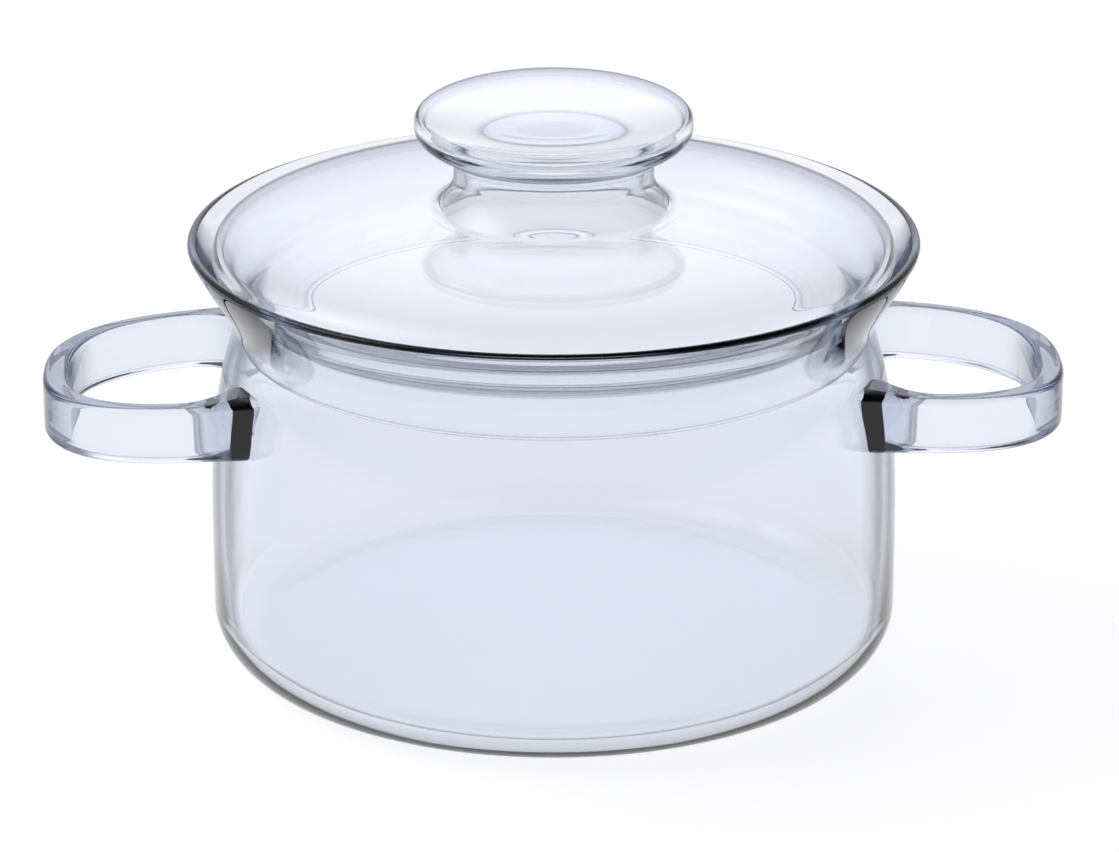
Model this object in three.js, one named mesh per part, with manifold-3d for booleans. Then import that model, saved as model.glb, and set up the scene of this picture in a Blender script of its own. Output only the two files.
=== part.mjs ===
// A clear glass stove-top pot: blown vessel with a flared rim, two fused loop handles,
// and a stopper-style glass lid with a wide mushroom knob.
// Millimetres, +Z up, origin at the centre of the base, handles along X.
import * as THREE from "three";
import { mergeVertices } from "three/addons/utils/BufferGeometryUtils.js";
import Module from "manifold-3d";

const wasm = await Module();
wasm.setup();

// Vessel: outside sizes, and the lengths over which its side and flare ease into each other
const POT_HEIGHT = 108;
const BODY_RADIUS = 85.4;
const WAIST_RADIUS = 79.2;
const RIM_RADIUS = 90;
const BASE_CORNER_RADIUS = 13;
const WAIST_DROP = 22;
const SHOULDER_LENGTH = 52;
const SHOULDER_FULLNESS = 42;
const SHOULDER_EASE = 8;
const FLARE_EASE = 4.5;
const LIP_SHARE_OF_FLARE = 2 / 9;
const LIP_RISE = 6.2;
const WALL = 3;
const FLOOR = 4.2;

// Handles: a strap bent to a loop that sags a little, swelling inwards towards its two welds
const HANDLE_REACH = 40.9;
const HANDLE_SPAN = 75.6;
const HANDLE_DROP = 38.6;
const HANDLE_SAG = 2.4;
const BEND_INSET = 5.4;
const LOOP_POWER = 2.6;
const STRAP_THICKNESS = 6.2;
const STRAP_HEIGHT = 14;
const STRAP_EDGE_RADIUS = 1.6;
const ROOT_LENGTH = 15;
const ROOT_SPREAD = 2.5;
const ROOT_EXTRA_THICKNESS = 8;
const ROOT_EXTRA_HEIGHT = 1.6;

// Lid: heights are measured down from the rim, where the lid sits
const LID_WALL = 3;
const LID_EDGE_RADIUS = 4;
const DOME_RISE = 12.6;
const DOME_POWER = 3;
const SEAT_DROP = 9;
const SEAT_LENGTH = 3.6;
const SKIRT_DEPTH = 27;
const SKIRT_STRAIGHT = 8;

// Knob: a hollow flattened round on a waisted neck with a spread foot, open to the inside of the lid
const KNOB_RADIUS = 34.2;
const KNOB_WALL = 3;
const KNOB_LIFT = 20.2;
const KNOB_CROWN = 8.2;
const KNOB_CROWN_POWER = 2.7;
const KNOB_BELLY = 10.2;
const KNOB_BELLY_POWER = 2.3;
const KNOB_NECK_RADIUS = 24.6;
const KNOB_NECK_RISE = 7.4;
const KNOB_NECK_EASE = 3;
const KNOB_FOOT_RADIUS = 29;
const KNOB_FOOT_EDGE = 0.7;

// Clearances
const SEAT_GAP = 0.3;
const WELD_GAP = 0.3;
const SKIRT_CLEARANCE = 1;

// Fineness of the round forms
const ROUND_STEPS = 48;
const KNOB_STEPS = 40;
const CORNER_STEPS = 4;
const CURVE_STEPS = 7;
const LIP_STEPS = 4;
const EDGE_STEPS = 3;
const SEAT_STEPS = 2;
const DOME_STEPS = 10;
const KNOB_CURVE_STEPS = 6;
const LOOP_STEPS = 12;
const ROOT_STEPS = 4;
const STRAP_EDGE_STEPS = 2;

const GLASS_COLOUR = 0xe6e9f2;
const LID_COLOUR = 0xe9ebf4;

// Levels and radii that follow from the sizes above
const WAIST_LEVEL = POT_HEIGHT - WAIST_DROP;
const SHOULDER_LEVEL = WAIST_LEVEL - SHOULDER_LENGTH;
const LIP_LEAN = LIP_SHARE_OF_FLARE * (RIM_RADIUS - WAIST_RADIUS);
const LIP_LEVEL = POT_HEIGHT - (WALL / 2) * (1 + LIP_LEAN / Math.hypot(LIP_LEAN, LIP_RISE));
const HANDLE_LEVEL = POT_HEIGHT - HANDLE_DROP;
const SKIRT_RADIUS = WAIST_RADIUS - WALL - SKIRT_CLEARANCE;
const SKIRT_BOTTOM = POT_HEIGHT - SKIRT_DEPTH;
const KNOB_BORE_RADIUS = KNOB_NECK_RADIUS - KNOB_WALL;

const point = (radius, height) => new THREE.Vector2(radius, height);

const cubic = (...pulls) => new THREE.CubicBezierCurve(...pulls);

// One quarter of a superellipse, from the axis out to its widest point.
class SuperQuarter extends THREE.Curve {
  constructor(radius, rise, power, level) {
    super();
    Object.assign(this, { radius, rise, power, level });
  }

  getPoint(share) {
    const turn = (share * Math.PI) / 2;
    const out = Math.abs(Math.sin(turn)) ** (2 / this.power);
    const up = Math.abs(Math.cos(turn)) ** (2 / this.power);
    return point(this.radius * out, this.level + this.rise * up);
  }

  shareAt(radius) {
    return (Math.asin((radius / this.radius) ** (this.power / 2)) * 2) / Math.PI;
  }
}

// Points along a profile curve from a share of it on, moved off it to its left by a distance that may change.
function trace(curve, steps, distanceAt = () => 0, start = 0) {
  return Array.from({ length: steps + 1 }, (_, index) => {
    const share = start + ((1 - start) * index) / steps;
    const at = curve.getPoint(share);
    const along = curve.getTangent(share);
    const distance = distanceAt(share);
    return point(at.x - along.y * distance, at.y + along.x * distance);
  });
}

// A full round over the end of a wall, from one face to the other, without those two points.
function fullRound(from, to, steps) {
  const centre = from.clone().add(to).multiplyScalar(0.5);
  const turns = Array.from({ length: steps - 1 }, (_, index) => ((index + 1) / steps) * Math.PI);
  return turns.map((turn) => from.clone().rotateAround(centre, turn));
}

// A closed profile, or one that starts and ends on the axis, turned about +Z.
const turned = (profile, steps) => new THREE.LatheGeometry(profile, steps).rotateX(Math.PI / 2);

// A closed skin over rings that all have the same number of corners.
function loft(rings) {
  const corners = rings[0].length;
  const last = (rings.length - 1) * corners;
  const faces = [];
  for (let start = 0; start < last; start += corners) {
    for (let corner = 0; corner < corners; corner += 1) {
      const a = start + corner;
      const b = start + ((corner + 1) % corners);
      faces.push(a, a + corners, b, b, a + corners, b + corners);
    }
  }
  for (let corner = 1; corner < corners - 1; corner += 1) {
    faces.push(0, corner, corner + 1);
    faces.push(last, last + corner + 1, last + corner);
  }
  const geometry = new THREE.BufferGeometry().setFromPoints(rings.flat());
  geometry.setIndex(faces);
  return geometry;
}

function toSolid(geometry) {
  geometry.deleteAttribute("normal");
  geometry.deleteAttribute("uv");
  const closed = mergeVertices(geometry);
  return new wasm.Manifold(new wasm.Mesh({
    numProp: 3,
    vertProperties: new Float32Array(closed.attributes.position.array),
    triVerts: new Uint32Array(closed.index.array),
  }));
}

function toGeometry(solid) {
  const { vertProperties, triVerts } = solid.getMesh();
  const geometry = new THREE.BufferGeometry();
  geometry.setAttribute("position", new THREE.BufferAttribute(vertProperties, 3));
  geometry.setIndex(new THREE.BufferAttribute(triVerts, 1));
  geometry.computeVertexNormals();
  return geometry;
}

// Outside of the vessel: base corner, side that draws in to the waist, flare up to the lip.
const baseCorner = new THREE.EllipseCurve(
  BODY_RADIUS - BASE_CORNER_RADIUS,
  BASE_CORNER_RADIUS,
  BASE_CORNER_RADIUS,
  BASE_CORNER_RADIUS,
  -Math.PI / 2,
  0,
);
const shoulder = cubic(
  point(BODY_RADIUS, SHOULDER_LEVEL),
  point(BODY_RADIUS, SHOULDER_LEVEL + SHOULDER_FULLNESS),
  point(WAIST_RADIUS, WAIST_LEVEL - SHOULDER_EASE),
  point(WAIST_RADIUS, WAIST_LEVEL),
);
const flare = cubic(
  point(WAIST_RADIUS, WAIST_LEVEL),
  point(WAIST_RADIUS, WAIST_LEVEL + FLARE_EASE),
  point(RIM_RADIUS - LIP_LEAN, LIP_LEVEL - LIP_RISE),
  point(RIM_RADIUS, LIP_LEVEL),
);

// The whole outside from the edge of the flat base, or a skin at a distance inside it.
function vesselSkin(cornerInset, wallInset) {
  return [
    ...trace(baseCorner, CORNER_STEPS, cornerInset),
    ...trace(shoulder, CURVE_STEPS, wallInset),
    ...trace(flare, CURVE_STEPS, wallInset).slice(1),
  ];
}

function potBody() {
  const outside = vesselSkin();
  const inside = vesselSkin((share) => FLOOR + (WALL - FLOOR) * share, () => WALL);
  const profile = [
    point(0, 0),
    ...outside,
    ...fullRound(outside.at(-1), inside.at(-1), LIP_STEPS),
    ...inside.reverse(),
    point(0, FLOOR),
  ];
  return turned(profile, ROUND_STEPS);
}

// The vessel as a filled form, grown by the weld's gap, which trims what is fused to its wall.
function wallTrimmer() {
  const grown = vesselSkin(() => -WELD_GAP, () => -WELD_GAP);
  return toSolid(turned([point(0, grown[0].y), ...grown, point(0, grown.at(-1).y)], ROUND_STEPS));
}

// The strap's section as offsets across its thickness and up its height, with round edges.
function strapSection(thickness, height) {
  const acrossFlat = thickness / 2 - STRAP_EDGE_RADIUS;
  const upFlat = height / 2 - STRAP_EDGE_RADIUS;
  const edges = [[1, 1], [-1, 1], [-1, -1], [1, -1]];
  return edges.flatMap(([across, up], edge) =>
    Array.from({ length: STRAP_EDGE_STEPS + 1 }, (_, step) => {
      const turn = (Math.PI / 2) * (edge + step / STRAP_EDGE_STEPS);
      return point(
        across * acrossFlat + STRAP_EDGE_RADIUS * Math.cos(turn),
        up * upFlat + STRAP_EDGE_RADIUS * Math.sin(turn),
      );
    }));
}

// Stations on the loop's middle line: half a superellipse, with a straight tail into the wall at each end.
function loopStations() {
  const bendStart = BODY_RADIUS - BEND_INSET;
  const halfSpan = (HANDLE_SPAN - STRAP_THICKNESS) / 2;
  const reach = HANDLE_REACH + BEND_INSET - STRAP_THICKNESS / 2;
  const bend = new SuperQuarter(reach, halfSpan, LOOP_POWER, 0);
  const half = (side) => [
    ...Array.from({ length: ROOT_STEPS }, (_, index) => ({
      at: point(bendStart - ROOT_LENGTH * (1 - index / ROOT_STEPS), side * halfSpan),
      heading: point(-side, 0),
    })),
    ...Array.from({ length: LOOP_STEPS + 1 }, (_, index) => {
      const { x: out, y: along } = bend.getPoint(index / LOOP_STEPS);
      const heading = bend.getTangent(index / LOOP_STEPS);
      return { at: point(bendStart + out, side * along), heading: point(-side * heading.x, -heading.y) };
    }),
  ];
  return [...half(-1), ...half(1).reverse().slice(1)];
}

// Share of the root's extra section at a station, from none at its length off the wall to all at the wall.
function rootShare(at) {
  const standOff = Math.max(at.length() - BODY_RADIUS, 0);
  return Math.max(1 - standOff / ROOT_LENGTH, 0) ** ROOT_SPREAD;
}

function handle(turn, trimmer) {
  const rings = loopStations().map(({ at, heading }) => {
    const share = rootShare(at);
    const extra = ROOT_EXTRA_THICKNESS * share;
    const level = HANDLE_LEVEL - (HANDLE_SAG * (at.x - BODY_RADIUS)) / HANDLE_REACH;
    const section = strapSection(STRAP_THICKNESS + extra, STRAP_HEIGHT + ROOT_EXTRA_HEIGHT * share);
    return section.map(({ x, y: up }) => {
      const across = x - extra / 2;
      return new THREE.Vector3(at.x + heading.y * across, at.y - heading.x * across, level + up);
    });
  });
  const loop = loft(rings).rotateZ(turn);
  return toGeometry(toSolid(loop).subtract(trimmer));
}

// Place along the flare, as a share of its curve, where its outside reaches a level.
function flareShareAt(level) {
  const halvings = 30;
  let low = 0;
  let step = 1;
  for (let halving = 0; halving < halvings; halving += 1) {
    step /= 2;
    if (flare.getPoint(low + step).y < level) {
      low += step;
    }
  }
  return low;
}

// The lid's seat: a band that follows the inside of the flare, a small gap off it, from its top down.
function lidSeat() {
  const top = flareShareAt(POT_HEIGHT - SEAT_DROP);
  const bottom = flareShareAt(POT_HEIGHT - SEAT_DROP - SEAT_LENGTH);
  const inset = WALL + SEAT_GAP;
  return Array.from({ length: SEAT_STEPS + 1 }, (_, index) => {
    const share = top + ((bottom - top) * index) / SEAT_STEPS;
    const at = flare.getPoint(share);
    const along = flare.getTangent(share);
    return { at: point(at.x - along.y * inset, at.y + along.x * inset), along };
  });
}

const seat = lidSeat();
const seatTop = seat[0];
const seatBottom = seat.at(-1);

// The lid's round edge bends from upright at its widest point to the slope of the seat.
const edgeCentre = point(
  seatTop.at.x - seatTop.along.y * LID_EDGE_RADIUS,
  seatTop.at.y + seatTop.along.x * LID_EDGE_RADIUS,
);
const lidEdge = new THREE.EllipseCurve(
  edgeCentre.x,
  edgeCentre.y,
  LID_EDGE_RADIUS,
  LID_EDGE_RADIUS,
  0,
  Math.atan2(-seatTop.along.x, seatTop.along.y),
  true,
);
const dome = new SuperQuarter(edgeCentre.x + LID_EDGE_RADIUS, DOME_RISE, DOME_POWER, edgeCentre.y);

// Below the seat the lid draws in, along the seat's own slope at first, to its straight skirt.
function lidThroat() {
  const straightTop = SKIRT_BOTTOM + SKIRT_STRAIGHT;
  const halfFall = (seatBottom.at.y - straightTop) / 2;
  return cubic(
    seatBottom.at,
    seatBottom.at.clone().addScaledVector(seatBottom.along, -halfFall / seatBottom.along.y),
    point(SKIRT_RADIUS, straightTop + halfFall),
    point(SKIRT_RADIUS, straightTop),
  );
}

// The lid's outside from the hole under the knob down to the skirt's edge, or a skin inside it.
function lidSkin(throat, inset) {
  const seatSkin = seat.slice(1, -1).map(({ at, along }) =>
    point(at.x - along.y * inset, at.y + along.x * inset));
  return [
    ...trace(dome, DOME_STEPS, () => -inset, dome.shareAt(KNOB_BORE_RADIUS)),
    ...trace(lidEdge, EDGE_STEPS, () => -inset).slice(1),
    ...seatSkin,
    ...trace(throat, CURVE_STEPS, () => -inset),
    point(SKIRT_RADIUS - inset, SKIRT_BOTTOM + LID_WALL / 2),
  ];
}

function lid() {
  const throat = lidThroat();
  const outside = lidSkin(throat, 0);
  const inside = lidSkin(throat, LID_WALL);
  const profile = [
    ...inside,
    ...fullRound(inside.at(-1), outside.at(-1), LIP_STEPS),
    ...outside.reverse(),
    inside[0],
  ];
  return turned(profile, ROUND_STEPS);
}

// Height of the dome's outside at a radius.
const domeLevel = (radius) => dome.getPoint(dome.shareAt(radius)).y;

// The knob's outside above its foot: neck, belly and crown, or a skin inside it.
function knobSkin(footLevel, inset) {
  const middle = domeLevel(0) + KNOB_LIFT;
  const crown = new SuperQuarter(KNOB_RADIUS, KNOB_CROWN, KNOB_CROWN_POWER, middle);
  const belly = new SuperQuarter(KNOB_RADIUS, -KNOB_BELLY, KNOB_BELLY_POWER, middle);
  const bellyStart = belly.shareAt(KNOB_NECK_RADIUS + KNOB_NECK_EASE);
  const throat = point(KNOB_NECK_RADIUS, footLevel + KNOB_NECK_RISE);
  const neckTop = cubic(
    throat,
    point(throat.x, throat.y + KNOB_NECK_EASE),
    belly.getPoint(bellyStart).addScaledVector(belly.getTangent(bellyStart), -KNOB_NECK_EASE),
    belly.getPoint(bellyStart),
  );
  return [
    ...trace(neckTop, EDGE_STEPS, () => inset),
    ...trace(belly, KNOB_CURVE_STEPS, () => inset, bellyStart).slice(1),
    ...trace(crown, KNOB_CURVE_STEPS, () => -inset).reverse().slice(1),
  ];
}

function lidKnob() {
  const footLevel = domeLevel(KNOB_FOOT_RADIUS) + WELD_GAP;
  const outside = knobSkin(footLevel, 0);
  const inside = knobSkin(footLevel, KNOB_WALL);
  const footSpread = cubic(
    point(KNOB_FOOT_RADIUS, footLevel + KNOB_FOOT_EDGE),
    point(KNOB_NECK_RADIUS + KNOB_NECK_EASE, footLevel + KNOB_NECK_EASE),
    point(KNOB_NECK_RADIUS, outside[0].y - KNOB_NECK_EASE),
    outside[0],
  );
  const underside = [KNOB_BORE_RADIUS, (KNOB_BORE_RADIUS + KNOB_FOOT_RADIUS) / 2, KNOB_FOOT_RADIUS];
  const profile = [
    ...inside.reverse(),
    ...underside.map((radius) => point(radius, domeLevel(radius) + WELD_GAP)),
    ...trace(footSpread, KNOB_CURVE_STEPS),
    ...outside.slice(1),
  ];
  return turned(profile, KNOB_STEPS);
}

function piece(name, geometry, colour) {
  const material = new THREE.MeshStandardMaterial({ color: colour, roughness: 0.05, metalness: 0 });
  const mesh = new THREE.Mesh(geometry, material);
  mesh.name = name;
  return mesh;
}

const trimmer = wallTrimmer();
const vessel = new THREE.Group();
vessel.add(
  piece("pot_body", potBody(), GLASS_COLOUR),
  piece("left_handle", handle(Math.PI, trimmer), GLASS_COLOUR),
  piece("right_handle", handle(0, trimmer), GLASS_COLOUR),
);

const cover = new THREE.Group();
cover.add(
  piece("lid", lid(), LID_COLOUR),
  piece("lid_knob", lidKnob(), LID_COLOUR),
);

const pot = new THREE.Group();
pot.add(vessel, cover);

export default pot;
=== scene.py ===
"""Looks of a clear glass stove-top pot with a stopper lid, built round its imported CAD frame.

Lengths are metres. +Z runs up through the knob, +X along the handles towards the right one,
and -Y towards the viewer of the photograph.
"""

import logging
import math
from abc import ABC, abstractmethod
from collections.abc import Callable, Iterable, Mapping
from dataclasses import dataclass, field
from enum import Enum
from typing import Any

import bpy
from mathutils import Matrix, Vector
from mathutils.bvhtree import BVHTree
from mathutils.interpolate import poly_3d_calc


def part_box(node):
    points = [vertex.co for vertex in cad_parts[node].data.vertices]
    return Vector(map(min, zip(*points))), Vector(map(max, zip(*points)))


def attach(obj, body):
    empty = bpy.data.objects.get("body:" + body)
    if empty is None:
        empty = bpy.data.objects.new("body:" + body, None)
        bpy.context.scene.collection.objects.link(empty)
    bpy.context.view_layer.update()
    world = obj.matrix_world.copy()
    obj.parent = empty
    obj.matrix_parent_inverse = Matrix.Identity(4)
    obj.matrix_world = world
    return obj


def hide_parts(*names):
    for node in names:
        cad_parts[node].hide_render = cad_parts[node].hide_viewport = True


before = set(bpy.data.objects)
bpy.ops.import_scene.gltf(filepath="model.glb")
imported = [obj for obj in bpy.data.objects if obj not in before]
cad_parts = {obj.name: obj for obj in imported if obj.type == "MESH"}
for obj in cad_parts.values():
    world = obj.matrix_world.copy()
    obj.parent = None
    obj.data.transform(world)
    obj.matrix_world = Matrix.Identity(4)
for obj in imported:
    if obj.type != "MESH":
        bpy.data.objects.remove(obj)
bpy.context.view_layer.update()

log = logging.getLogger("glass_pot")

MM = 0.001
# Share of a stretch, to each side of a point, over which its direction is taken.
TANGENT_NUDGE = 1e-4
# Points of a turned skin that are closer than this are one.
WELD_DISTANCE = 1e-6
# Rounds of a search that halves its stride in each.
HALVINGS = 30
# Face attribute of the fused pot: 0 on what comes from the vessel, 1 and 2 on the straps.
# It also sets where the painted edge shade begins.
MARK = "fused_from"
# Names of the two Geometry Nodes trees.
TURNED = "turned_section"
STRAP = "bent_strap"
# Blend of the Layer Weight node at which Facing is one minus the cosine.
PLAIN_BLEND = 0.5
# Numbers of the Mix node's colour sockets, since it has several sockets of each name.
MIX_FACTOR = 0
MIX_FROM = 6
MIX_TO = 7
MIX_RESULT = 2

# A distance, or a rule that gives it along a stretch's share.
Inset = float | Callable[[float], float]


class Side(Enum):
    """The side of the pot that a handle stands on, as its direction along X."""

    LEFT = -1
    RIGHT = 1


def linear(hex_colour: str) -> tuple[float, float, float, float]:
    """Turn an sRGB hex colour into the linear colour that the shaders take.

    Args:
        hex_colour: Six hex digits after a hash sign.

    Returns:
        Linear red, green, blue and an alpha of one.
    """
    shares = [int(hex_colour[start:start + 2], 16) / 255 for start in (1, 3, 5)]
    channels = [
        share / 12.92 if share <= 0.04045 else ((share + 0.055) / 1.055) ** 2.4
        for share in shares
    ]
    return (*channels, 1.0)


def add_node(
    tree: bpy.types.NodeTree,
    kind: str,
    inputs: Mapping[str | int, Any] | None = None,
    **settings: Any,
) -> bpy.types.Node:
    """Add a node with its settings, and link or set its inputs.

    Args:
        tree: Node tree that gets the node.
        kind: Blender's name for the kind of node.
        inputs: Sockets to link from, or values to set, by input name or number.
        **settings: Properties of the node itself.

    Returns:
        The new node.
    """
    node = tree.nodes.new(kind)
    for name, value in settings.items():
        setattr(node, name, value)
    for name, value in (inputs or {}).items():
        if isinstance(value, bpy.types.NodeSocket):
            tree.links.new(value, node.inputs[name])
        else:
            node.inputs[name].default_value = value
    return node


class Curve(ABC):
    """A stretch of a turned section, as radius and height along a share from 0 to 1."""

    @abstractmethod
    def at(self, share: float) -> Vector:
        """Give the radius and height at a share of the stretch."""

    def heading(self, share: float) -> Vector:
        """Give the direction in which the stretch runs.

        Args:
            share: Place along the stretch.

        Returns:
            A direction of length one.
        """
        low = max(share - TANGENT_NUDGE, 0.0)
        high = min(share + TANGENT_NUDGE, 1.0)
        return (self.at(high) - self.at(low)).normalized()

    def beside(self, share: float, inset: float) -> Vector:
        """Give the point at a distance to the left of the stretch."""
        along = self.heading(share)
        return self.at(share) + Vector((-along.y, along.x)) * inset

    def trace(self, steps: int, inset: Inset = 0.0) -> list[Vector]:
        """Follow the stretch, or a line at a distance to its left.

        Args:
            steps: Number of equal steps.
            inset: Distance to the left, or a rule for it along the share.

        Returns:
            One point more than there are steps.
        """
        rule = inset if callable(inset) else lambda share: inset
        shares = [step / steps for step in range(steps + 1)]
        return [self.beside(share, rule(share)) for share in shares]


@dataclass(frozen=True)
class Cubic(Curve):
    """A cubic pull between two ends."""

    start: Vector
    start_pull: Vector
    end_pull: Vector
    end: Vector

    def at(self, share: float) -> Vector:
        """Give the radius and height at a share of the stretch."""
        rest = 1 - share
        return (
            self.start * rest**3
            + self.start_pull * (3 * rest**2 * share)
            + self.end_pull * (3 * rest * share**2)
            + self.end * share**3
        )


@dataclass(frozen=True)
class Arc(Curve):
    """Part of a circle between two angles."""

    centre: Vector
    radius: float
    start: float
    end: float

    def at(self, share: float) -> Vector:
        """Give the radius and height at a share of the stretch."""
        angle = self.start + (self.end - self.start) * share
        return self.centre + Vector((math.cos(angle), math.sin(angle))) * self.radius


@dataclass(frozen=True)
class SuperQuarter(Curve):
    """A quarter of a superellipse, from the axis out to its widest point."""

    radius: float
    rise: float
    power: float
    level: float

    def at(self, share: float) -> Vector:
        """Give the radius and height at a share of the stretch.

        Args:
            share: 0 on the axis, 1 at the widest point.

        Returns:
            Radius and height.
        """
        angle = share * math.pi / 2
        out = abs(math.sin(angle)) ** (2 / self.power)
        up = abs(math.cos(angle)) ** (2 / self.power)
        return Vector((self.radius * out, self.level + self.rise * up))

    def share_at(self, radius: float) -> float:
        """Give the share of the stretch where it reaches a radius."""
        return math.asin((radius / self.radius) ** (self.power / 2)) * 2 / math.pi


@dataclass(frozen=True)
class Stretch(Curve):
    """Part of another curve, which may run backwards."""

    whole: Curve
    start: float
    end: float

    def at(self, share: float) -> Vector:
        """Give the radius and height at a share of the stretch."""
        return self.whole.at(self.start + (self.end - self.start) * share)


def full_round(start: Vector, end: Vector, steps: int) -> list[Vector]:
    """Round off the end of a wall from one face to the other.

    Args:
        start: Last point of the face that the round leaves.
        end: First point of the face that it reaches, to the left.
        steps: Number of equal steps of the half circle.

    Returns:
        The points between the two faces.
    """
    middle = (start + end) / 2
    arm = start - middle
    turns = [math.pi * step / steps for step in range(1, steps)]
    return [
        middle
        + Vector((
            arm.x * math.cos(turn) - arm.y * math.sin(turn),
            arm.x * math.sin(turn) + arm.y * math.cos(turn),
        ))
        for turn in turns
    ]


@dataclass(frozen=True)
class ClearGlass:
    """Borosilicate glass, shaped hot and fire-polished: clear, hard and faintly wavy.

    The tint colours what passes the skin. Where the skin turns away from the eye, a painted
    edge shade takes over from the tint between two values of Facing, painted_shade_start and
    painted_shade_full, and darkens the glass at its edges. On a strap it begins at
    strap_painted_shade_start. Depth colour and density say what the glass takes from light, by metre.
    """

    name: str
    tint: str
    painted_edge_shade: str
    painted_shade_start: float
    strap_painted_shade_start: float
    painted_shade_full: float
    depth_colour: str
    depth_density: float
    ripple_width: float
    ripple_height: float
    haze_width: float
    ripple_detail: float = 1.0
    ripple_roughness: float = 0.4
    haze: float = 0.012
    haze_detail: float = 4.0
    haze_roughness: float = 0.6
    haze_range: tuple[float, float] = (0.5, 0.8)
    ior: float = 1.473

    def waves(
        self, tree: bpy.types.NodeTree, place: bpy.types.NodeSocket
    ) -> bpy.types.NodeSocket:
        """Add the slow waves that hot working leaves in the skin.

        Args:
            tree: The material's node tree.
            place: Object coordinates.

        Returns:
            The normal with its waves.
        """
        ripple = add_node(
            tree,
            "ShaderNodeTexNoise",
            {
                "Vector": place,
                "Scale": 1 / self.ripple_width,
                "Detail": self.ripple_detail,
                "Roughness": self.ripple_roughness,
            },
        )
        bump = add_node(
            tree,
            "ShaderNodeBump",
            {"Height": ripple.outputs["Fac"], "Distance": self.ripple_height, "Strength": 1.0},
        )
        return bump.outputs["Normal"]

    def smudges(
        self, tree: bpy.types.NodeTree, place: bpy.types.NodeSocket
    ) -> bpy.types.NodeSocket:
        """Add the trace of haze that wiping and handling leave in patches.

        Args:
            tree: The material's node tree.
            place: Object coordinates.

        Returns:
            The roughness.
        """
        smudge = add_node(
            tree,
            "ShaderNodeTexNoise",
            {
                "Vector": place,
                "Scale": 1 / self.haze_width,
                "Detail": self.haze_detail,
                "Roughness": self.haze_roughness,
            },
        )
        low, high = self.haze_range
        haze = add_node(
            tree,
            "ShaderNodeMapRange",
            {
                "Value": smudge.outputs["Fac"],
                "From Min": low,
                "From Max": high,
                "To Max": self.haze,
            },
        )
        return haze.outputs["Result"]

    def skin_colour_with_painted_shade(
        self, tree: bpy.types.NodeTree, normal: bpy.types.NodeSocket
    ) -> bpy.types.NodeSocket:
        """Add the colour of the skin, and a painted shade that darkens it where it is seen edge on.

        Args:
            tree: The material's node tree.
            normal: The normal with its waves.

        Returns:
            The colour, with its painted edge shade.
        """
        # Painted edge shade: past a start value of Facing, which is lower on the straps, the tint
        # goes over to a dark colour.
        facing = add_node(tree, "ShaderNodeLayerWeight", {"Blend": PLAIN_BLEND, "Normal": normal})
        on_strap = add_node(tree, "ShaderNodeAttribute", attribute_name=MARK)
        start = add_node(
            tree,
            "ShaderNodeMapRange",
            {
                "Value": on_strap.outputs["Fac"],
                "To Min": self.painted_shade_start,
                "To Max": self.strap_painted_shade_start,
            },
        )
        edge = add_node(
            tree,
            "ShaderNodeMapRange",
            {
                "Value": facing.outputs["Facing"],
                "From Min": start.outputs["Result"],
                "From Max": self.painted_shade_full,
            },
        )
        colour = add_node(
            tree,
            "ShaderNodeMix",
            {
                MIX_FACTOR: edge.outputs["Result"],
                MIX_FROM: linear(self.tint),
                MIX_TO: linear(self.painted_edge_shade),
            },
            data_type="RGBA",
        )
        return colour.outputs[MIX_RESULT]

    def material(self) -> bpy.types.Material:
        """Give the glass, which is made when it is first asked for.

        Returns:
            The finished material.
        """
        made = bpy.data.materials.get(self.name)
        if made:
            return made
        material = bpy.data.materials.new(self.name)
        material.use_nodes = True
        tree = material.node_tree
        tree.nodes.clear()
        place = add_node(tree, "ShaderNodeTexCoord").outputs["Object"]
        normal = self.waves(tree, place)
        glass = add_node(
            tree,
            "ShaderNodeBsdfPrincipled",
            {
                "Base Color": self.skin_colour_with_painted_shade(tree, normal),
                "Roughness": self.smudges(tree, place),
                "IOR": self.ior,
                "Transmission Weight": 1.0,
                "Normal": normal,
            },
        )
        depth = add_node(
            tree,
            "ShaderNodeVolumeAbsorption",
            {"Color": linear(self.depth_colour), "Density": self.depth_density},
        )
        add_node(
            tree,
            "ShaderNodeOutputMaterial",
            {"Surface": glass.outputs["BSDF"], "Volume": depth.outputs["Volume"]},
        )
        return material

    def dress(self, mesh: bpy.types.Mesh) -> None:
        """Leave this glass as the one finish of a mesh."""
        mesh.materials.clear()
        mesh.materials.append(self.material())


# Borosilicate blown in a turning mould, with the rim melted round in a flame and the straps fused
# on hot. That leaves a glossy skin with slow waves a few centimetres long, which bend what lies
# behind. Face on it is clear and through its depth blue-grey. A painted shade makes it dark where
# it turns edge on, more so on the straps.
BLOWN_GLASS = ClearGlass(
    name="blown_borosilicate_glass",
    tint="#FAFAFD",
    painted_edge_shade="#262E40",
    painted_shade_start=0.65,
    strap_painted_shade_start=0.34,
    painted_shade_full=0.81,
    depth_colour="#7C9BBC",
    depth_density=34.0,
    ripple_width=45 * MM,
    ripple_height=0.05 * MM,
    haze_width=18 * MM,
)
# Borosilicate pressed in a mould and fire-polished all over. The die gives it a truer form than
# blowing does, so its waves are shorter and lower. Dome and knob stay pale up to a thin painted
# edge shade. It has no straps, so both starts of its painted edge shade are the same.
PRESSED_GLASS = ClearGlass(
    name="pressed_borosilicate_glass",
    tint="#FFFFFF",
    painted_edge_shade="#2A3244",
    painted_shade_start=0.7,
    strap_painted_shade_start=0.7,
    painted_shade_full=0.86,
    depth_colour="#8598B4",
    depth_density=26.0,
    ripple_width=30 * MM,
    ripple_height=0.03 * MM,
    haze_width=15 * MM,
)


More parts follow.
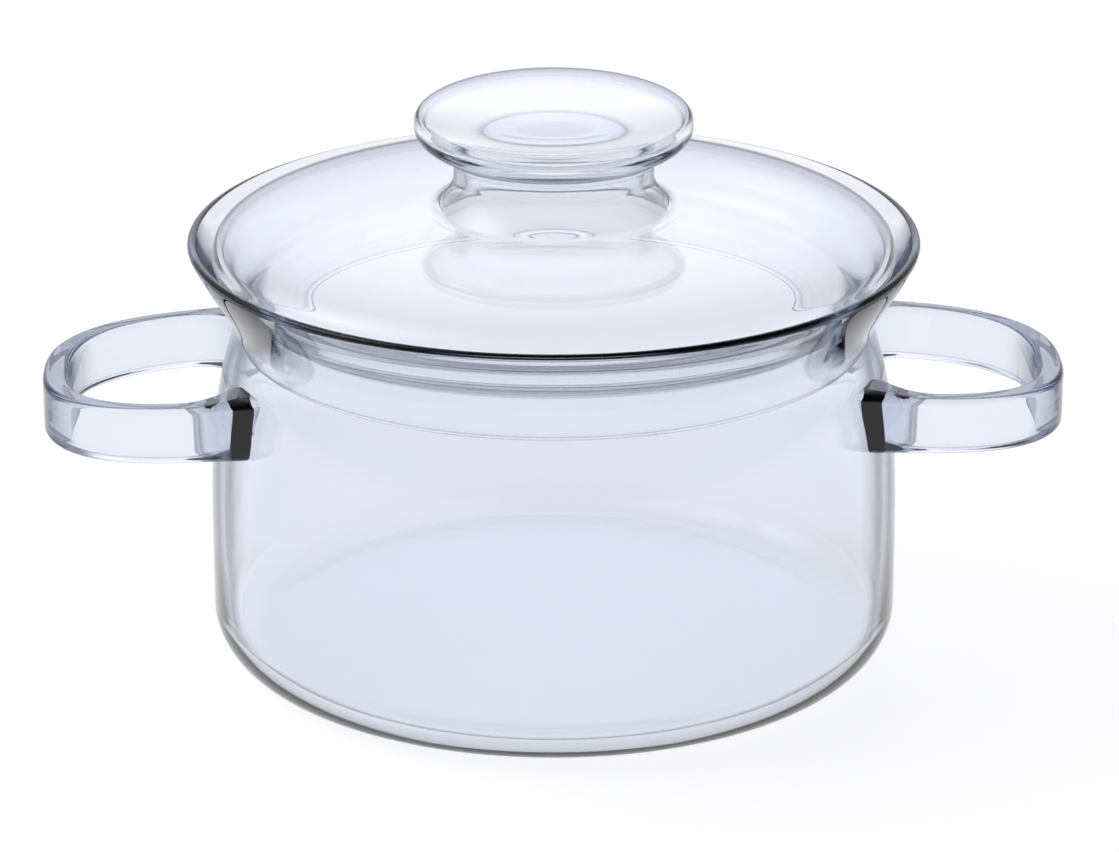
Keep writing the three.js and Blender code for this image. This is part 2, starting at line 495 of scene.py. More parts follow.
def set_input(modifier: bpy.types.NodesModifier, name: str, value: Any) -> None:
    """Set a Geometry Nodes modifier's input by its socket's identifier.

    Args:
        modifier: Modifier whose tree has the input.
        name: The input's name in the tree.
        value: What it is set to.
    """
    for item in modifier.node_group.interface.items_tree:
        if item.name == name and item.in_out == "INPUT":
            modifier[item.identifier] = value


def new_tree(name: str, sizes: Mapping[str, str]) -> bpy.types.NodeTree:
    """Start a Geometry Nodes tree with named inputs.

    Args:
        name: The tree's name.
        sizes: Kind of socket for each named input.

    Returns:
        A tree with its inputs and its geometry output.
    """
    tree = bpy.data.node_groups.new(name, "GeometryNodeTree")
    tree.interface.new_socket("Geometry", in_out="INPUT", socket_type="NodeSocketGeometry")
    for label, kind in sizes.items():
        tree.interface.new_socket(label, in_out="INPUT", socket_type=kind)
    tree.interface.new_socket("Geometry", in_out="OUTPUT", socket_type="NodeSocketGeometry")
    return tree


def finish_tree(
    tree: bpy.types.NodeTree, shape: bpy.types.NodeSocket, material: bpy.types.NodeSocket
) -> None:
    """End a tree: smooth shading, real geometry, its material, and the output.

    Args:
        tree: Tree to end.
        shape: The finished geometry.
        material: The tree's material input.
    """
    smooth = add_node(tree, "GeometryNodeSetShadeSmooth", {"Geometry": shape})
    real = add_node(tree, "GeometryNodeRealizeInstances", {"Geometry": smooth.outputs["Geometry"]})
    dressed = add_node(
        tree, "GeometryNodeSetMaterial", {"Geometry": real.outputs["Geometry"], "Material": material}
    )
    add_node(tree, "NodeGroupOutput", {"Geometry": dressed.outputs["Geometry"]})


def turning_tree() -> bpy.types.NodeTree:
    """Make the tree that turns a section about Z, as a glass lathe does.

    Returns:
        A tree whose geometry is a chain of points in XZ.
    """
    tree = new_tree(TURNED, {"Steps": "NodeSocketInt", "Glass": "NodeSocketMaterial"})
    given = add_node(tree, "NodeGroupInput")
    section = given.outputs["Geometry"]
    count = add_node(
        tree, "GeometryNodeAttributeDomainSize", {"Geometry": section}, component="MESH"
    )
    around = add_node(tree, "ShaderNodeMath", {0: given.outputs["Steps"], 1: 1.0}, operation="ADD")
    sheet = add_node(
        tree,
        "GeometryNodeMeshGrid",
        {"Vertices X": count.outputs["Point Count"], "Vertices Y": around.outputs[0]},
    )
    shares = add_node(tree, "ShaderNodeSeparateXYZ", {"Vector": sheet.outputs["UV Map"]})
    last = add_node(
        tree, "ShaderNodeMath", {0: count.outputs["Point Count"], 1: 1.0}, operation="SUBTRACT"
    )
    along = add_node(
        tree, "ShaderNodeMath", {0: shares.outputs["X"], 1: last.outputs[0]}, operation="MULTIPLY"
    )
    nearest = add_node(tree, "ShaderNodeMath", {0: along.outputs[0]}, operation="ROUND")
    position = add_node(tree, "GeometryNodeInputPosition")
    sample = add_node(
        tree,
        "GeometryNodeSampleIndex",
        {"Geometry": section, "Value": position.outputs["Position"], "Index": nearest.outputs[0]},
        data_type="FLOAT_VECTOR",
        domain="POINT",
    )
    turn = add_node(
        tree, "ShaderNodeMath", {0: shares.outputs["Y"], 1: math.tau}, operation="MULTIPLY"
    )
    turned = add_node(
        tree,
        "ShaderNodeVectorRotate",
        {"Vector": sample.outputs["Value"], "Angle": turn.outputs[0]},
        rotation_type="Z_AXIS",
    )
    skin = add_node(
        tree,
        "GeometryNodeSetPosition",
        {"Geometry": sheet.outputs["Mesh"], "Position": turned.outputs["Vector"]},
    )
    closed = add_node(
        tree,
        "GeometryNodeMergeByDistance",
        {"Geometry": skin.outputs["Geometry"], "Distance": WELD_DISTANCE},
    )
    outward = add_node(tree, "GeometryNodeFlipFaces", {"Mesh": closed.outputs["Geometry"]})
    finish_tree(tree, outward.outputs["Mesh"], given.outputs["Glass"])
    return tree


def strap_tree() -> bpy.types.NodeTree:
    """Make the tree that draws a strap along a bent line and swells it towards its welds.

    Returns:
        A tree whose geometry is the strap's middle line.
    """
    names = (
        "Wall Radius",
        "Root Length",
        "Root Spread",
        "Root Thickening",
        "Root Heightening",
        "Root Shift",
    )
    kinds = {name: "NodeSocketFloat" for name in names}
    tree = new_tree(STRAP, {**kinds, "Section": "NodeSocketObject", "Glass": "NodeSocketMaterial"})
    given = add_node(tree, "NodeGroupInput")
    line = add_node(tree, "GeometryNodeMeshToCurve", {"Mesh": given.outputs["Geometry"]})
    upright = add_node(
        tree, "GeometryNodeSetCurveNormal", {"Curve": line.outputs["Curve"]}, mode="Z_UP"
    )
    position = add_node(tree, "GeometryNodeInputPosition").outputs["Position"]
    kept = add_node(tree, "GeometryNodeCaptureAttribute", {"Geometry": upright.outputs["Curve"]})
    along = add_node(tree, "GeometryNodeInputTangent").outputs["Tangent"]
    for name, source in (("Middle", position), ("Along", along)):
        kept.capture_items.new("VECTOR", name)
        tree.links.new(source, kept.inputs[name])
    drawn = add_node(tree, "GeometryNodeObjectInfo", {"Object": given.outputs["Section"]})
    section = add_node(tree, "GeometryNodeMeshToCurve", {"Mesh": drawn.outputs["Geometry"]})
    strap = add_node(
        tree,
        "GeometryNodeCurveToMesh",
        {
            "Curve": kept.outputs["Geometry"],
            "Profile Curve": section.outputs["Curve"],
            "Fill Caps": True,
        },
    )
    middle = kept.outputs["Middle"]
    flat = add_node(
        tree, "ShaderNodeVectorMath", {0: middle, 1: (1.0, 1.0, 0.0)}, operation="MULTIPLY"
    )
    reach = add_node(tree, "ShaderNodeVectorMath", {0: flat.outputs["Vector"]}, operation="LENGTH")
    root = add_node(
        tree,
        "ShaderNodeMath",
        {0: given.outputs["Wall Radius"], 1: given.outputs["Root Length"]},
        operation="ADD",
    )
    share = add_node(
        tree,
        "ShaderNodeMapRange",
        {
            "Value": reach.outputs["Value"],
            "From Min": root.outputs[0],
            "From Max": given.outputs["Wall Radius"],
        },
    )
    swell = add_node(
        tree,
        "ShaderNodeMath",
        {0: share.outputs["Result"], 1: given.outputs["Root Spread"]},
        operation="POWER",
    )
    thicker, taller = (
        add_node(
            tree,
            "ShaderNodeMath",
            {0: swell.outputs[0], 1: given.outputs[name], 2: 1.0},
            operation="MULTIPLY_ADD",
        ).outputs[0]
        for name in ("Root Thickening", "Root Heightening")
    )
    growth = add_node(tree, "ShaderNodeCombineXYZ", {"X": thicker, "Y": thicker, "Z": taller})
    offset = add_node(tree, "ShaderNodeVectorMath", {0: position, 1: middle}, operation="SUBTRACT")
    swollen = add_node(
        tree,
        "ShaderNodeVectorMath",
        {0: offset.outputs["Vector"], 1: growth.outputs["Vector"], 2: middle},
        operation="MULTIPLY_ADD",
    )
    outward = add_node(
        tree,
        "ShaderNodeVectorMath",
        {0: kept.outputs["Along"], 1: (0.0, 0.0, 1.0)},
        operation="CROSS_PRODUCT",
    )
    shift = add_node(
        tree,
        "ShaderNodeMath",
        {0: swell.outputs[0], 1: given.outputs["Root Shift"]},
        operation="MULTIPLY",
    )
    inward = add_node(
        tree,
        "ShaderNodeVectorMath",
        {0: outward.outputs["Vector"], "Scale": shift.outputs[0]},
        operation="SCALE",
    )
    shape = add_node(
        tree,
        "GeometryNodeSetPosition",
        {
            "Geometry": strap.outputs["Mesh"],
            "Position": swollen.outputs["Vector"],
            "Offset": inward.outputs["Vector"],
        },
    )
    finish_tree(tree, shape.outputs["Geometry"], given.outputs["Glass"])
    return tree


def chain(name: str, points: Iterable[Vector], closed: bool = False) -> bpy.types.Object:
    """Make an object whose mesh is one chain of edges.

    Args:
        name: The object's name.
        points: The chain's points, in order.
        closed: Whether the last point is joined to the first.

    Returns:
        The object, in the scene.
    """
    spots = list(points)
    links = [(spot, spot + 1) for spot in range(len(spots) - 1)]
    if closed:
        links.append((len(spots) - 1, 0))
    mesh = bpy.data.meshes.new(name)
    mesh.from_pydata(spots, links, [])
    thing = bpy.data.objects.new(name, mesh)
    bpy.context.scene.collection.objects.link(thing)
    return thing


def settle(thing: bpy.types.Object) -> None:
    """Turn an object's modifiers into its plain mesh and remove them.

    Args:
        thing: Object that is changed.
    """
    bpy.context.view_layer.update()
    graph = bpy.context.evaluated_depsgraph_get()
    mesh = bpy.data.meshes.new_from_object(thing.evaluated_get(graph))
    thing.modifiers.clear()
    thing.data = mesh


def grow(thing: bpy.types.Object, tree: bpy.types.NodeTree, sizes: Mapping[str, Any]) -> None:
    """Grow an object's chain into a solid with a Geometry Nodes tree.

    Args:
        thing: Object that holds the chain, and then the solid.
        tree: The tree.
        sizes: Values of its named inputs.
    """
    modifier = thing.modifiers.new(tree.name, "NODES")
    modifier.node_group = tree
    for name, value in sizes.items():
        set_input(modifier, name, value)
    settle(thing)


def turn_section(
    name: str, section: Iterable[Vector], steps: int, glass: ClearGlass
) -> bpy.types.Object:
    """Turn a section of radius and height about Z.

    Args:
        name: Name of the piece.
        section: Points from the axis, round the glass and back to the axis.
        steps: Steps round the axis.
        glass: The finish.

    Returns:
        The turned piece.
    """
    thing = chain(name, [Vector((spot.x, 0.0, spot.y)) for spot in section])
    tree = bpy.data.node_groups.get(TURNED) or turning_tree()
    grow(thing, tree, {"Steps": steps, "Glass": glass.material()})
    return thing


def combine(thing: bpy.types.Object, tool: bpy.types.Object, operation: str) -> None:
    """Join another solid to an object, or cut it away, and drop the other solid.

    Args:
        thing: Object that is changed.
        tool: Solid that is joined or cut away.
        operation: Blender's name for the way they are combined.
    """
    modifier = thing.modifiers.new(operation.lower(), "BOOLEAN")
    modifier.operation = operation
    modifier.solver = "MANIFOLD"
    modifier.object = tool
    settle(thing)
    bpy.data.objects.remove(tool)


def mark(mesh: bpy.types.Mesh, number: int) -> None:
    """Number the faces of a mesh by the piece that they come from."""
    marks = mesh.attributes.new(MARK, "INT", "FACE")
    marks.data.foreach_set("value", [number] * len(mesh.polygons))


class SmoothSkin:
    """The even normals of a smooth mesh, kept before it is cut."""

    def __init__(self, mesh: bpy.types.Mesh) -> None:
        """Keep the mesh's points, their normals and its faces.

        Args:
            mesh: The mesh before it is cut.
        """
        self.spots = [vertex.co.copy() for vertex in mesh.vertices]
        self.normals = [vertex.normal.copy() for vertex in mesh.vertices]
        self.faces = [tuple(face.vertices) for face in mesh.polygons]
        self.search = BVHTree.FromPolygons(self.spots, self.faces)

    def normal_at(self, spot: Vector) -> Vector:
        """Give the even normal at the place on the skin that is nearest to a spot.

        Args:
            spot: A point on the skin or close to it.

        Returns:
            The normal, blended from the corners of the face there.
        """
        near, _, face, _ = self.search.find_nearest(spot)
        corners = self.faces[face]
        weights = poly_3d_calc([self.spots[corner] for corner in corners], near)
        blend = sum((self.normals[c] * w for c, w in zip(corners, weights)), Vector())
        return blend.normalized()


@dataclass
class Vessel:
    """The blown vessel: flat base, side that draws in to a waist, flared fire-polished rim."""

    glass: ClearGlass = BLOWN_GLASS
    height: float = field(init=False)
    rim_radius: float = field(init=False)
    body_radius: float = 85.4 * MM
    waist_radius: float = 79.2 * MM
    base_corner: float = 13 * MM
    waist_drop: float = 22 * MM
    shoulder_length: float = 52 * MM
    shoulder_fullness: float = 42 * MM
    shoulder_ease: float = 8 * MM
    flare_ease: float = 4.5 * MM
    lip_share: float = 2 / 9
    lip_rise: float = 6.2 * MM
    wall: float = 3 * MM
    lip_wall: float = 2.3 * MM
    lip_taper: float = 1.5
    floor: float = 4.2 * MM
    floor_rings: tuple[float, ...] = (0.0, 0.35, 0.7, 0.92)
    corner_steps: int = 20
    shoulder_steps: int = 40
    flare_steps: int = 32
    lip_steps: int = 14
    round_steps: int = 224

    def __post_init__(self) -> None:
        """Take the overall sizes from the frame."""
        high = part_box("pot_body")[1]
        self.rim_radius = high.x
        self.height = high.z

    @property
    def waist_level(self) -> float:
        """Height of the narrowest ring."""
        return self.height - self.waist_drop

    @property
    def corner(self) -> Curve:
        """Outside of the round base corner."""
        centre = Vector((self.body_radius - self.base_corner, self.base_corner))
        return Arc(centre, self.base_corner, -math.pi / 2, 0.0)

    @property
    def shoulder(self) -> Curve:
        """Outside of the side, from the top of its straight stretch to the waist."""
        foot = self.waist_level - self.shoulder_length
        return Cubic(
            Vector((self.body_radius, foot)),
            Vector((self.body_radius, foot + self.shoulder_fullness)),
            Vector((self.waist_radius, self.waist_level - self.shoulder_ease)),
            Vector((self.waist_radius, self.waist_level)),
        )

    @property
    def flare(self) -> Curve:
        """Outside of the flare, from the waist to the lip.

        Returns:
            A curve that leaves the waist upright and leans outwards at the lip.
        """
        lean = self.lip_share * (self.rim_radius - self.waist_radius)
        slope = math.atan2(lean, self.lip_rise)
        out = self.rim_radius - self.wall / 2 * (1 - math.cos(slope))
        lip = self.height - self.wall / 2 * (1 + math.sin(slope))
        return Cubic(
            Vector((self.waist_radius, self.waist_level)),
            Vector((self.waist_radius, self.waist_level + self.flare_ease)),
            Vector((out - lean, lip - self.lip_rise)),
            Vector((out, lip)),
        )

    def skin(
        self, corner_inset: Inset = 0.0, wall_inset: float = 0.0, flare_inset: Inset = 0.0
    ) -> list[Vector]:
        """Follow the outside from the edge of the flat base to the lip, or a skin inside it.

        Args:
            corner_inset: Distance inside the base corner, or a rule for it.
            wall_inset: Distance inside the side.
            flare_inset: Distance inside the flare, or a rule for it.

        Returns:
            Points from the base to the lip.
        """
        return [
            *self.corner.trace(self.corner_steps, corner_inset),
            *self.shoulder.trace(self.shoulder_steps, wall_inset),
            *self.flare.trace(self.flare_steps, flare_inset)[1:],
        ]

    def floor_to_wall(self, share: float) -> float:
        """Give the glass's thickness round the base corner."""
        return self.floor + (self.wall - self.floor) * share

    def wall_to_lip(self, share: float) -> float:
        """Give the glass's thickness up the flare, which thins towards the lip."""
        return self.wall + (self.lip_wall - self.wall) * share**self.lip_taper

    def section(self) -> list[Vector]:
        """Give the section of the glass.

        Returns:
            Points from the axis under the base, round the lip, to the axis on the floor.
        """
        outside = self.skin()
        inside = self.skin(self.floor_to_wall, self.wall, self.wall_to_lip)
        return [
            *[Vector((outside[0].x * share, 0.0)) for share in self.floor_rings],
            *outside,
            *full_round(outside[-1], inside[-1], self.lip_steps),
            *reversed(inside),
            *[Vector((inside[0].x * share, self.floor)) for share in reversed(self.floor_rings)],
        ]

    def core(self) -> bpy.types.Object:
        """Make a filled form that ends half way into the wall, to trim the handles' ends.

        Returns:
            The form, which is not a piece of the pot.
        """
        half = self.wall / 2
        skin = self.skin(half, half, half)
        section = [Vector((0.0, skin[0].y)), *skin, Vector((0.0, skin[-1].y))]
        return turn_section("vessel_core", section, self.round_steps, self.glass)

    def build(self) -> bpy.types.Object:
        """Turn the vessel, in its glass."""
        return turn_section("vessel", self.section(), self.round_steps, self.glass)


@dataclass
class Handle:
    """A pressed strap bent to a loop, whose two ends are fused to the wall."""

    side: Side
    vessel: Vessel
    drop: float = 38.6 * MM
    sag: float = 2.4 * MM
    reach: float = 40.9 * MM
    span: float = 75.6 * MM
    bend_inset: float = 5.4 * MM
    loop_power: float = 2.6
    thickness: float = 6.2 * MM
    strap_height: float = 14 * MM
    edge_radius: float = 1.6 * MM
    root_length: float = 15 * MM
    root_spread: float = 2.5
    root_thickening: float = 8 * MM
    root_heightening: float = 1.6 * MM
    bend_steps: int = 160
    tail_steps: int = 8
    edge_steps: int = 7
    face_shares: tuple[float, ...] = (0.12, 0.37, 0.63, 0.88)

    def middle_line(self) -> list[Vector]:
        """Give the loop's middle line: half a superellipse with straight tails into the wall.

        Returns:
            Points from one weld round the loop to the other.
        """
        start = self.vessel.body_radius - self.bend_inset
        half_span = (self.span - self.thickness) / 2
        reach = self.reach + self.bend_inset - self.thickness / 2
        turns = [math.pi * (step / self.bend_steps - 0.5) for step in range(self.bend_steps + 1)]
        round_by = 2 / self.loop_power
        bend = [
            (
                start + reach * abs(math.cos(turn)) ** round_by,
                half_span * math.copysign(abs(math.sin(turn)) ** round_by, turn),
            )
            for turn in turns
        ]
        tails = [
            start - self.root_length * (1 - step / self.tail_steps)
            for step in range(self.tail_steps)
        ]
        line = [
            *[(out, -half_span) for out in tails],
            *bend,
            *[(out, half_span) for out in reversed(tails)],
        ]
        height = self.vessel.height - self.drop
        fall = self.sag / self.reach
        return [
            Vector((
                self.side.value * out,
                self.side.value * along,
                height - fall * (out - self.vessel.body_radius),
            ))
            for out, along in line
        ]

    def section(self) -> list[Vector]:
        """Give the strap's section: flat faces with round edges.

        Each face has points close to where it meets the edges, which keeps it flat to the eye.

        Returns:
            Points once round the section.
        """
        radius = self.edge_radius
        flat = Vector((self.thickness / 2 - radius, self.strap_height / 2 - radius))
        edges = [(1, 1), (-1, 1), (-1, -1), (1, -1)]
        spots = []
        for quarter, (across, up) in enumerate(edges):
            centre = Vector((across * flat.x, up * flat.y))
            for step in range(self.edge_steps + 1):
                turn = math.pi / 2 * (quarter + step / self.edge_steps)
                spots.append(centre + Vector((math.cos(turn), math.sin(turn))) * radius)
            across, up = edges[(quarter + 1) % len(edges)]
            start = spots[-1]
            goal = Vector((across * flat.x, up * flat.y)) + (start - centre)
            spots.extend(start.lerp(goal, share) for share in self.face_shares)
        return [Vector((spot.x, spot.y, 0.0)) for spot in spots]

    def build(self) -> bpy.types.Object:
        """Draw the strap along its loop, in the vessel's glass.

        Returns:
            The strap, whose ends still reach in through the vessel's wall.
        """
        side = self.side.name.lower()
        section = chain(f"{side}_strap_section", self.section(), closed=True)
        strap = chain(f"{side}_strap", self.middle_line())
        grow(strap, bpy.data.node_groups.get(STRAP) or strap_tree(), {
            "Section": section,
            "Wall Radius": self.vessel.body_radius,
            "Root Length": self.root_length,
            "Root Spread": self.root_spread,
            "Root Thickening": self.root_thickening / self.thickness,
            "Root Heightening": self.root_heightening / self.strap_height,
            "Root Shift": -self.root_thickening / 2,
            "Glass": self.vessel.glass.material(),
        })
        bpy.data.objects.remove(section)
        return strap


@dataclass
class Pot:
    """The vessel and its two handles, fused into one closed piece of glass."""

    vessel: Vessel
    handles: list[Handle]

    @staticmethod
    def smooth(mesh: bpy.types.Mesh, skins: list[SmoothSkin]) -> None:
        """Give every face the even normals of the skin that it comes from.

        Fusing leaves thin faces at the welds, whose own normals would show as streaks.

        Args:
            mesh: The fused mesh.
            skins: The skins of the vessel and the straps, by their marks.
        """
        marks = [item.value for item in mesh.attributes[MARK].data]
        even = [Vector()] * len(mesh.loops)
        for face in mesh.polygons:
            skin = skins[marks[face.index]]
            for loop in face.loop_indices:
                even[loop] = skin.normal_at(mesh.vertices[mesh.loops[loop].vertex_index].co)
        mesh.normals_split_custom_set(even)

    def dress(self, pot: bpy.types.Object) -> None:
        """Put the one glass on the fused piece, and say what it stands for.

        Args:
            pot: The fused piece.
        """
        self.vessel.glass.dress(pot.data)
        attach(pot, "pot")
        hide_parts("pot_body", "left_handle", "right_handle")

    def build(self) -> bpy.types.Object:
        """Fuse the handles to the vessel.

        Returns:
            The fused piece, dressed.
        """
        pot = self.vessel.build()
        mark(pot.data, 0)
        skins = [SmoothSkin(pot.data)]
        for number, handle in enumerate(self.handles, 1):
            strap = handle.build()
            mark(strap.data, number)
            skins.append(SmoothSkin(strap.data))
            combine(strap, self.vessel.core(), "DIFFERENCE")
            combine(pot, strap, "UNION")
        self.smooth(pot.data, skins)
        self.dress(pot)
        return pot


@dataclass
class Knob:
    """The hollow mushroom knob, open through its neck to the inside of the lid."""

    radius: float = 34.2 * MM
    wall: float = 3 * MM
    lift: float = 20.2 * MM
    crown: float = 8.2 * MM
    crown_power: float = 2.7
    belly: float = 10.2 * MM
    belly_power: float = 2.3
    neck_radius: float = 24.6 * MM
    neck_rise: float = 7.4 * MM
    neck_ease: float = 3 * MM
    foot_radius: float = 29 * MM
    steps: int = 24

    def outline(self, dome: SuperQuarter) -> list[Curve]:
        """Give the knob's outside from its foot on the dome to its crown.

        Args:
            dome: Outside of the dome that the knob stands on.

        Returns:
            The spread of the foot, the neck, the underside and the crown.
        """
        middle = dome.at(0).y + self.lift
        crown = SuperQuarter(self.radius, self.crown, self.crown_power, middle)
        belly = SuperQuarter(self.radius, -self.belly, self.belly_power, middle)
        under = Stretch(belly, belly.share_at(self.neck_radius + self.neck_ease), 1.0)
        foot = dome.at(dome.share_at(self.foot_radius))
        throat = Vector((self.neck_radius, foot.y + self.neck_rise))
        ease = Vector((0.0, self.neck_ease))
        spread = Cubic(
            foot,
            Vector((self.neck_radius + self.neck_ease, foot.y + self.neck_ease / 2)),
            throat - ease,
            throat,
        )
        neck = Cubic(
            throat,
            throat + ease,
            under.at(0.0) - under.heading(0.0) * self.neck_ease,
            under.at(0.0),
        )
        return [spread, neck, under, Stretch(crown, 1.0, 0.0)]

    def skin(self, dome: SuperQuarter, inset: float = 0.0) -> list[Vector]:
        """Follow the outside from the foot to the crown, or a skin inside it."""
        return [
            spot for curve in self.outline(dome) for spot in curve.trace(self.steps, inset)[1:]
        ]


@dataclass
class Lid:
    """The stopper lid: low dome, seat on the flare, skirt into the waist, and its fused knob."""

    vessel: Vessel
    knob: Knob = field(default_factory=Knob)
    glass: ClearGlass = PRESSED_GLASS
    wall: float = 3 * MM
    edge_radius: float = 4 * MM
    dome_rise: float = 12.6 * MM
    dome_power: float = 3.0
    seat_drop: float = 9 * MM
    seat_length: float = 3.6 * MM
    seat_gap: float = 0.3 * MM
    skirt_depth: float = 27 * MM
    skirt_straight: float = 10.6 * MM
    skirt_clearance: float = 1 * MM
    dome_steps: int = 56
    edge_steps: int = 10
    seat_steps: int = 6
    throat_steps: int = 24
    lip_steps: int = 14
    round_steps: int = 224

    @property
    def seat_inset(self) -> float:
        """Distance of the seat inside the outside of the vessel's flare."""
        return self.vessel.wall + self.seat_gap

    @property
    def skirt_radius(self) -> float:
        """Outside radius of the skirt's straight stretch."""
        return self.vessel.waist_radius - self.vessel.wall - self.skirt_clearance

    @property
    def skirt_bottom(self) -> float:
        """Height of the skirt's lower edge."""
        return self.vessel.height - self.skirt_depth

    def flare_share(self, level: float) -> float:
        """Find the share of the vessel's flare where its outside reaches a level.

        Args:
            level: Height that is looked for.

        Returns:
            The share along the flare.
        """
        low = 0.0
        stride = 1.0
        for _ in range(HALVINGS):
            stride /= 2
            if self.vessel.flare.at(low + stride).y < level:
                low += stride
        return low

    def seat_shares(self) -> list[float]:
        """Give the shares of the flare along the seat.

        Returns:
            Shares from the top of the seat to its bottom.
        """
        level = self.vessel.height - self.seat_drop
        top = self.flare_share(level)
        bottom = self.flare_share(level - self.seat_length)
        return [top + (bottom - top) * step / self.seat_steps for step in range(self.seat_steps + 1)]

    @property
    def edge(self) -> Arc:
        """Outside of the round edge, from the dome's widest ring to the top of the seat.

        Returns:
            An arc that runs on into the seat.
        """
        top = self.seat_shares()[0]
        slope = self.vessel.flare.heading(top)
        centre = self.vessel.flare.beside(top, self.seat_inset + self.edge_radius)
        return Arc(centre, self.edge_radius, 0.0, math.atan2(-slope.x, slope.y))

    @property
    def dome(self) -> SuperQuarter:
        """Outside of the dome, from the axis to its widest ring."""
        centre = self.edge.centre
        return SuperQuarter(centre.x + self.edge_radius, self.dome_rise, self.dome_power, centre.y)

    @property
    def throat(self) -> Cubic:
        """Outside of the throat, from the bottom of the seat to the skirt's straight stretch.

        Returns:
            A curve that runs on from the seat and ends upright.
        """
        bottom = self.seat_shares()[-1]
        start = self.vessel.flare.beside(bottom, self.seat_inset)
        slope = self.vessel.flare.heading(bottom)
        straight_top = self.skirt_bottom + self.skirt_straight
        half_fall = (start.y - straight_top) / 2
        return Cubic(
            start,
            start - slope * (half_fall / slope.y),
            Vector((self.skirt_radius, straight_top + half_fall)),
            Vector((self.skirt_radius, straight_top)),
        )

    def skin(self, inset: float = 0.0) -> list[Vector]:
        """Follow the outside from the knob's foot to the skirt's edge, or a skin inside it.

        Args:
            inset: Distance inside the outside.

        Returns:
            Points from the knob's foot to the skirt's edge.
        """
        flare = self.vessel.flare
        shoulder = Stretch(self.dome, self.dome.share_at(self.knob.foot_radius), 1.0)
        return [
            *shoulder.trace(self.dome_steps, -inset),
            *self.edge.trace(self.edge_steps, -inset)[1:],
            *[flare.beside(share, self.seat_inset + inset) for share in self.seat_shares()[1:-1]],
            *self.throat.trace(self.throat_steps, -inset),
            Vector((self.skirt_radius - inset, self.skirt_bottom + self.wall / 2)),
        ]

    def section(self) -> list[Vector]:
        """Give the section of the lid and its knob.

        Returns:
            Points from the hollow of the knob down the inside, and up the outside to its crown.
        """
        outside = self.skin()
        inside = self.skin(self.wall)
        return [
            *reversed(self.knob.skin(self.dome, self.knob.wall)),
            *inside,
            *full_round(inside[-1], outside[-1], self.lip_steps),
            *reversed(outside),
            *self.knob.skin(self.dome),
        ]

    def build(self) -> bpy.types.Object:
        """Turn the lid and its knob in one, in their glass, and say what they stand for.

        Returns:
            The turned piece, dressed.
        """
        lid = turn_section("lid_with_knob", self.section(), self.round_steps, self.glass)
        self.glass.dress(lid.data)
        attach(lid, "lid")
        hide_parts("lid", "lid_knob")
        return lid


@dataclass(frozen=True)
class OpalGlass:
    """The table top: matt, pale opal glass with a painted glow, a pool of light that fades with
    distance.
    """

    name: str = "opal_glass_table"
    grey: str = "#C4C4C4"
    roughness: float = 0.9
    glow_colour: str = "#FFFFFF"
    glow: float = 0.85
    far_glow: float = 0.4
    glow_radius: float = 0.62
    far_radius: float = 2.0

    def material(self) -> bpy.types.Material:
        """Make the sheet with its painted glow.

        Returns:
            The finished material.
        """
        material = bpy.data.materials.new(self.name)
        material.use_nodes = True
        tree = material.node_tree
        tree.nodes.clear()
        place = add_node(tree, "ShaderNodeTexCoord").outputs["Object"]
        away = add_node(tree, "ShaderNodeVectorMath", {0: place}, operation="LENGTH")
        # Painted pool of light: the glow is full near the pot and fades out to far_glow with
        # distance.
        glow = add_node(
            tree,
            "ShaderNodeMapRange",
            {
                "Value": away.outputs["Value"],
                "From Min": self.glow_radius,
                "From Max": self.far_radius,
                "To Min": self.glow,
                "To Max": self.far_glow,
            },
        )
        sheet = add_node(
            tree,
            "ShaderNodeBsdfPrincipled",
            {
                "Base Color": linear(self.grey),
                "Roughness": self.roughness,
                "Specular IOR Level": 0.0,
                "Emission Color": linear(self.glow_colour),
                "Emission Strength": glow.outputs["Result"],
            },
        )
        add_node(tree, "ShaderNodeOutputMaterial", {"Surface": sheet.outputs["BSDF"]})
        return material


@dataclass(frozen=True)
class SoftLight:
    """A soft lit part of the studio's walls and ceiling."""

    direction: tuple[float, float, float]
    tightness: float
    level: float


